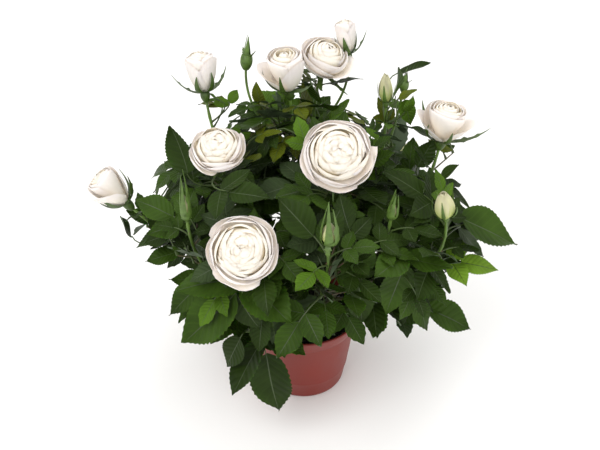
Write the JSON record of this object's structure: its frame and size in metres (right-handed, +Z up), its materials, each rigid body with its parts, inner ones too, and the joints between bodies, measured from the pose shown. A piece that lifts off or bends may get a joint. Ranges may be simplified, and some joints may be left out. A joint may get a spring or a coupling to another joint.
{
  "type": "potted rose bush",
  "caption": "Bushy miniature rose with white double blooms, buds and glossy leaflets on several canes, growing in a small round plastic pot.",
  "frame": {"origin": "centre of the pot's flat underside, on the surface it stands on", "axes": "+Z up, along the pot's axis; -Y towards the viewer, the side that shows the most blooms; +X to the viewer's right"},
  "size_m": [0.3575, 0.2927, 0.3225],
  "materials": {
    "pot_plastic": "satin moulded polypropylene, terracotta red-brown",
    "potting_soil": "moist dark peat, matte and crumbly",
    "cane_bark": "green-brown rose bark, satin, with fine length-wise cracks",
    "green_bark": "smooth young green bark, satin",
    "foliage": "glossy dark green leaflets",
    "petals": "soft matte white petals with a cream heart"
  },
  "bodies": {
    "root": {"pot": "pot_plastic", "soil": "potting_soil", "cane_front": "cane_bark", "cane_left": "cane_bark", "cane_right": "cane_bark", "cane_back_left": "cane_bark", "cane_back_right": "cane_bark", "bough_front_left": "green_bark", "bough_low_front": "green_bark", "bough_front": "green_bark", "bough_top": "green_bark", "bough_left_front": "green_bark", "bough_left": "green_bark", "bough_low_left": "green_bark", "bough_left_high": "green_bark", "bough_front_right": "green_bark", "bough_right": "green_bark", "bough_low_right": "green_bark", "bough_right_high": "green_bark", "bough_left_back_high": "green_bark", "bough_back_left_high": "green_bark", "bough_rear_left": "green_bark", "bough_low_rear": "green_bark", "bough_back_high": "green_bark", "bough_back_right_high": "green_bark", "bough_rear_right": "green_bark", "bough_rear": "green_bark", "foliage_front_left": "foliage", "foliage_low_front": "foliage", "foliage_front": "foliage", "foliage_top": "foliage", "foliage_left_front": "foliage", "foliage_left": "foliage", "foliage_low_left": "foliage", "foliage_left_high": "foliage", "foliage_front_right": "foliage", "foliage_right": "foliage", "foliage_low_right": "foliage", "foliage_right_high": "foliage", "foliage_left_back_high": "foliage", "foliage_back_left_high": "foliage", "foliage_rear_left": "foliage", "foliage_low_rear": "foliage", "foliage_back_high": "foliage", "foliage_back_right_high": "foliage", "foliage_rear_right": "foliage", "foliage_rear": "foliage"}
  },
  "joints": []
}
